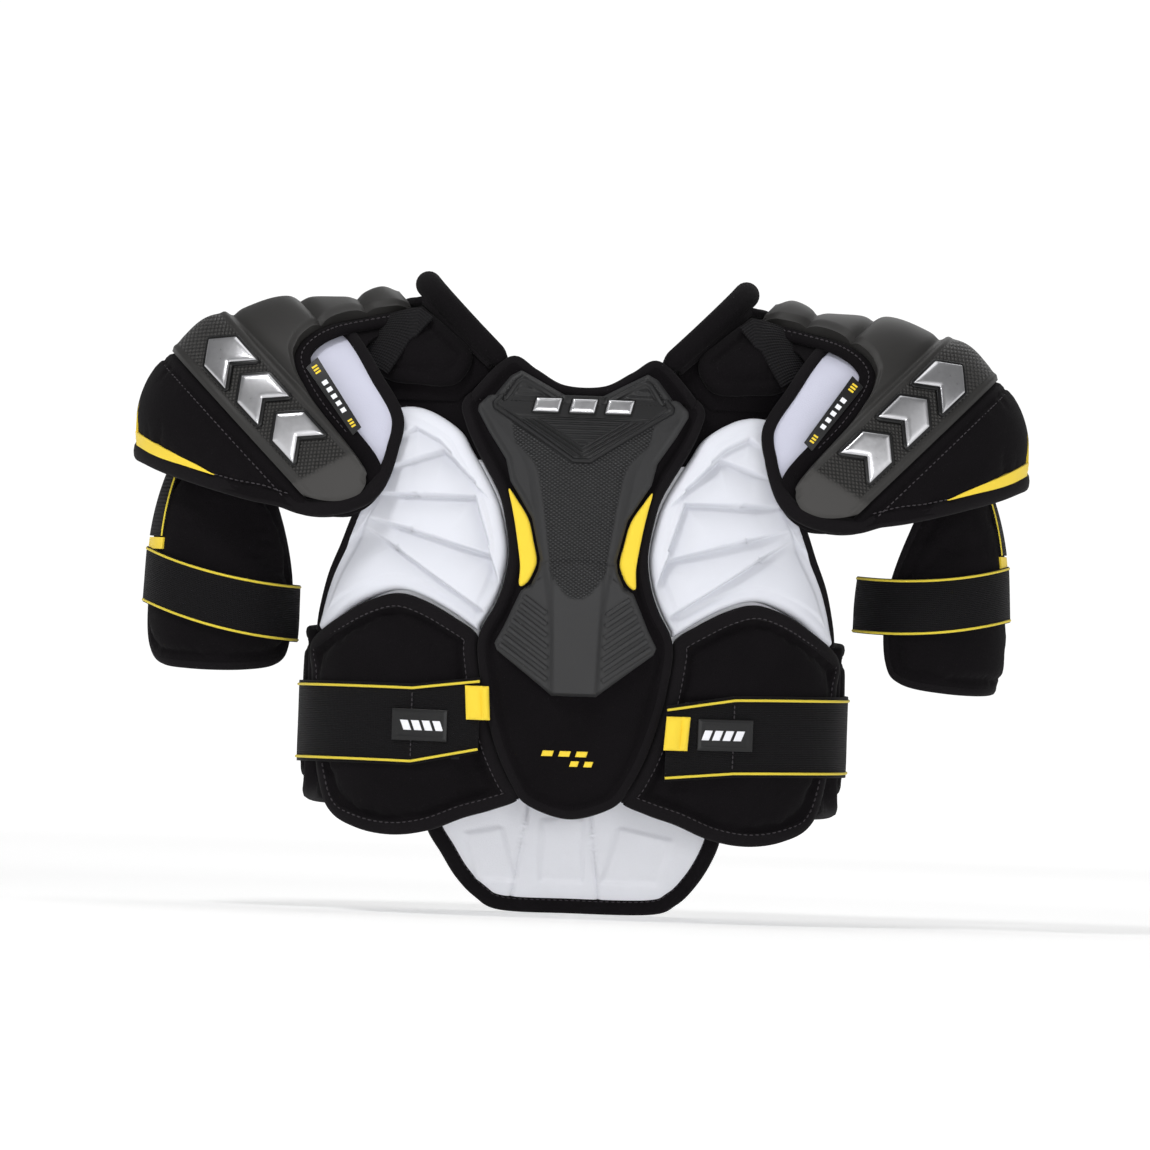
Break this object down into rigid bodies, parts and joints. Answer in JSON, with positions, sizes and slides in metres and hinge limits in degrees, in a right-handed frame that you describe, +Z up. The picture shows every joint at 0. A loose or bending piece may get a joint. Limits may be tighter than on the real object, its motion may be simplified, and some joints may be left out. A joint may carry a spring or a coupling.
{
  "type": "ice hockey shoulder pads",
  "caption": "Padded harness with sternum and spine plates, chest, rib and back pads, hinged shoulder caps, hanging arm guards and elastic closure straps.",
  "frame": {"origin": "on the ground plane, below the middle of the part's bounding box", "axes": "-Y towards the front (chest), +X towards the wearer's left, +Z up"},
  "size_m": [0.642, 0.2626, 0.4588],
  "materials": {
    "black_fabric": "matt",
    "white_lining": "matt",
    "white_foam": "matt",
    "charcoal_foam": "satin",
    "chrome_trim": "polished",
    "yellow_trim": "satin",
    "elastic": "matt",
    "loop_patch": "matt"
  },
  "bodies": {
    "torso": {"front_liner": "white_lining", "sternum_pad": "black_fabric", "sternum_plate": "charcoal_foam", "neck_badge": "charcoal_foam", "badge_trim": "chrome_trim", "left_sternum_insert": "yellow_trim", "right_sternum_insert": "yellow_trim", "left_chest_pad": "white_foam", "right_chest_pad": "white_foam", "left_rib_pad": "black_fabric", "right_rib_pad": "black_fabric", "left_rib_loop_patch": "loop_patch", "right_rib_loop_patch": "loop_patch", "left_clavicle_pad": "black_fabric", "right_clavicle_pad": "black_fabric", "left_collar_roll": "black_fabric", "right_collar_roll": "black_fabric", "left_yoke_pad": "black_fabric", "right_yoke_pad": "black_fabric", "left_yoke_webbing": "elastic", "right_yoke_webbing": "elastic", "back_liner": "white_lining", "spine_pad": "black_fabric", "spine_plate": "charcoal_foam", "left_back_pad": "black_fabric", "right_back_pad": "black_fabric", "left_side_wing": "black_fabric", "right_side_wing": "black_fabric", "tail_pad": "white_lining", "hang_loop": "elastic"},
    "left_cap": {"left_cap_liner": "white_lining", "left_cap_insert": "white_foam", "left_cap_shell": "charcoal_foam", "left_cap_skirt": "black_fabric", "left_cap_emblem": "chrome_trim", "left_cap_label": "black_fabric"},
    "left_arm_link": {"left_arm_webbing": "elastic"},
    "left_arm": {"left_arm_guard": "black_fabric", "left_arm_tab": "yellow_trim", "left_arm_strap_back": "elastic"},
    "left_arm_flap": {"left_arm_strap_flap": "elastic"},
    "left_belly_flap": {"left_belly_strap": "elastic", "left_belly_tab": "yellow_trim", "left_belly_label": "black_fabric"},
    "right_cap": {"right_cap_liner": "white_lining", "right_cap_insert": "white_foam", "right_cap_shell": "charcoal_foam", "right_cap_skirt": "black_fabric", "right_cap_emblem": "chrome_trim", "right_cap_label": "black_fabric"},
    "right_arm_link": {"right_arm_webbing": "elastic"},
    "right_arm": {"right_arm_guard": "black_fabric", "right_arm_tab": "yellow_trim", "right_arm_strap_back": "elastic"},
    "right_arm_flap": {"right_arm_strap_flap": "elastic"},
    "right_belly_flap": {"right_belly_strap": "elastic", "right_belly_tab": "yellow_trim", "right_belly_label": "black_fabric"}
  },
  "joints": [
    {"name": "left_cap_lift", "type": "hinge", "parent": "torso", "child": "left_cap", "pos_m": [0.12, 0, 0.452], "axis": [0, -1, 0], "range_deg": [0, 60]},
    {"name": "left_arm_swing", "type": "hinge", "parent": "left_cap", "child": "left_arm_link", "pos_m": [0.257, -0.0206, 0.334], "axis": [1, 0, 0], "range_deg": [-20, 25]},
    {"name": "left_arm_length", "type": "slide", "parent": "left_arm_link", "child": "left_arm", "axis": [0, 0, 1], "range_m": [-0.015, 0]},
    {"name": "left_arm_flap_open", "type": "hinge", "parent": "left_arm", "child": "left_arm_flap", "pos_m": [0.3132, 0, 0.234], "axis": [0, 0, 1], "range_deg": [0, 100]},
    {"name": "left_belly_flap_open", "type": "hinge", "parent": "torso", "child": "left_belly_flap", "pos_m": [0.184, 0.06, 0.135], "axis": [0, 0, 1], "range_deg": [0, 80]},
    {"name": "right_cap_lift", "type": "hinge", "parent": "torso", "child": "right_cap", "pos_m": [-0.12, 0, 0.452], "axis": [0, 1, 0], "range_deg": [0, 60]},
    {"name": "right_arm_swing", "type": "hinge", "parent": "right_cap", "child": "right_arm_link", "pos_m": [-0.257, -0.0298, 0.334], "axis": [1, 0, 0], "range_deg": [-20, 25]},
    {"name": "right_arm_length", "type": "slide", "parent": "right_arm_link", "child": "right_arm", "axis": [0, 0, 1], "range_m": [-0.015, 0]},
    {"name": "right_arm_flap_open", "type": "hinge", "parent": "right_arm", "child": "right_arm_flap", "pos_m": [-0.3132, 0, 0.221], "axis": [0, 0, -1], "range_deg": [0, 100]},
    {"name": "right_belly_flap_open", "type": "hinge", "parent": "torso", "child": "right_belly_flap", "pos_m": [-0.184, 0.06, 0.135], "axis": [0, 0, -1], "range_deg": [0, 80]}
  ]
}
